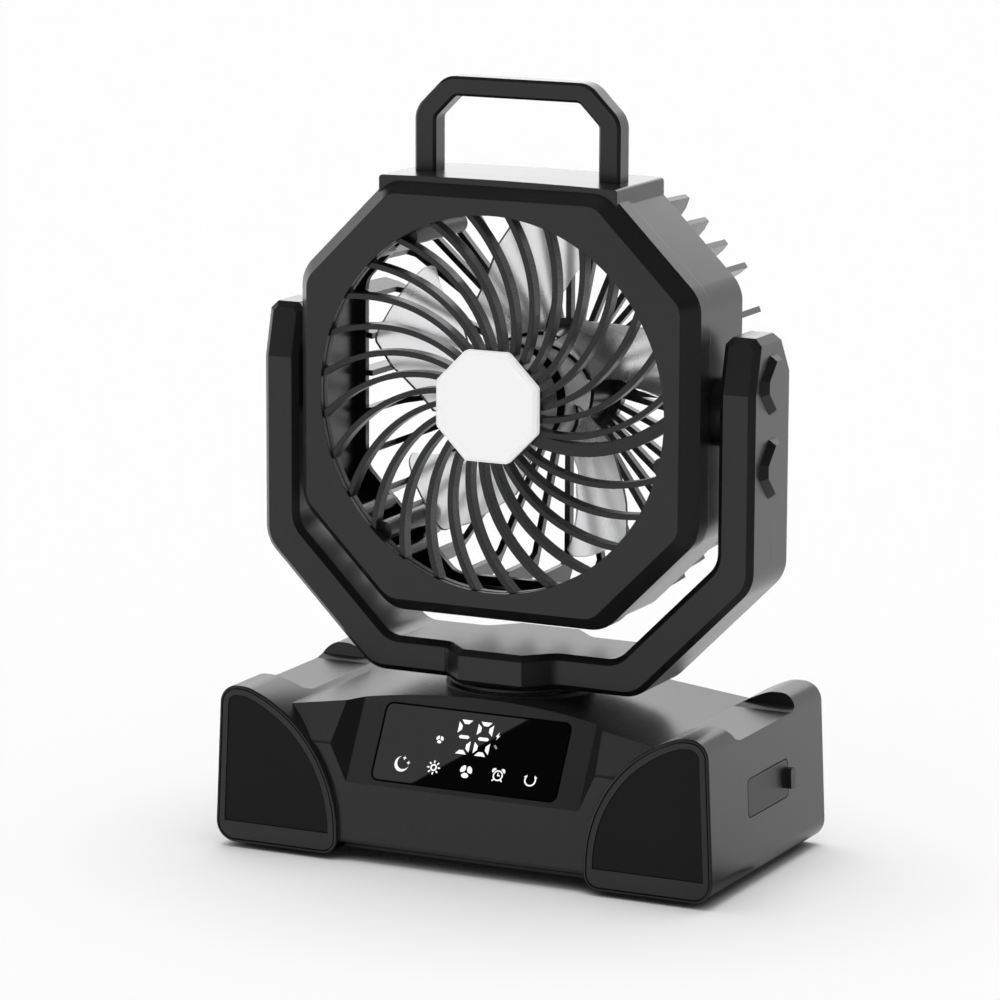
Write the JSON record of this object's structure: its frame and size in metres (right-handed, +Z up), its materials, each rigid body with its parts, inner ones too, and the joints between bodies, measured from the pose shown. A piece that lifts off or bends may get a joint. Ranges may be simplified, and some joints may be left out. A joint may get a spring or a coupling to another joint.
{
  "type": "rechargeable fan",
  "caption": "Rechargeable camping fan: octagonal tilting head with swirl guard and lamp, carry handle, swivelling yoke and a wide battery base with touch display.",
  "frame": {"origin": "on the floor under the swivel axis, at the centre of the base", "axes": "+Z up, -Y the front with the display and the lamp, +X to the viewer's right"},
  "size_m": [0.2433, 0.1246, 0.3412],
  "materials": {
    "charcoal": "fine satin texture",
    "trim": "satin",
    "pad_black": "dead matt",
    "screen": "polished",
    "diffuser": "frosted white",
    "smoke": "clear smoke tint",
    "guard_black": "satin",
    "rubber": "matt",
    "steel": "plain",
    "cell_wrap": "shrink wrapped",
    "board": "solder mask",
    "motor_metal": "plain",
    "acetal": "natural"
  },
  "bodies": {
    "base": {"base_housing": "charcoal", "base_bottom": "guard_black", "front_trim_left": "trim", "front_trim_right": "trim", "rear_trim_left": "trim", "rear_trim_right": "trim", "front_pad_left": "pad_black", "front_pad_right": "pad_black", "rear_pad_left": "pad_black", "rear_pad_right": "pad_black", "display_panel": "screen", "display_board": "board", "battery_cells": "cell_wrap", "battery_holder": "guard_black", "main_board": "board", "port_board": "board", "usb_c_socket": "steel", "usb_a_socket": "steel", "oscillation_motor": "motor_metal", "spindle_bush": "acetal", "thrust_washer": "acetal", "rubber_feet": "rubber", "bottom_screws": "steel"},
    "flap": {"port_flap": "rubber"},
    "pinion": {"drive_pinion": "acetal"},
    "yoke": {"yoke_front": "charcoal", "yoke_rear": "charcoal", "yoke_screws": "steel", "turntable": "guard_black", "turntable_gear": "acetal", "spindle_ring": "steel", "plug_upper_left": "charcoal", "plug_lower_left": "charcoal", "plug_upper_right": "charcoal", "plug_lower_right": "charcoal", "tilt_bush_left": "acetal", "tilt_bush_right": "acetal"},
    "head": {"front_bezel": "charcoal", "front_guard": "guard_black", "lamp_diffuser": "diffuser", "led_board": "board", "head_shell": "charcoal", "rear_guard": "charcoal", "fan_motor": "motor_metal", "handle": "charcoal", "handle_screws": "steel", "head_screws": "steel", "tilt_hub_left": "guard_black", "tilt_hub_right": "guard_black", "tilt_nut_left": "steel", "tilt_nut_right": "steel"},
    "rotor": {"impeller": "smoke", "motor_shaft": "steel", "impeller_nut": "steel"}
  },
  "joints": [
    {"name": "oscillation", "type": "hinge", "parent": "base", "child": "yoke", "pos_m": [0, 0, 0.0757], "axis": [0, 0, 1], "range_deg": [-45, 45]},
    {"name": "head_tilt", "type": "hinge", "parent": "yoke", "child": "head", "pos_m": [0, 0, 0.2028], "axis": [1, 0, 0], "range_deg": [-90, 90]},
    {"name": "fan_spin", "type": "hinge", "parent": "head", "child": "rotor", "pos_m": [0, 0, 0.2028], "axis": [0, 1, 0], "continuous": true},
    {"name": "flap_open", "type": "hinge", "parent": "base", "child": "flap", "pos_m": [0.11867, -0.0217, 0.041], "axis": [0.045, 0, -0.999], "range_deg": [0, 100]},
    {"name": "pinion_spin", "type": "hinge", "parent": "base", "child": "pinion", "pos_m": [0, 0.028, 0.0615], "axis": [0, 0, 1], "range_deg": [-112.5, 112.5]}
  ],
  "couplings": [
    {"joint": "pinion_spin", "follows": "oscillation", "ratio": -2.5}
  ]
}
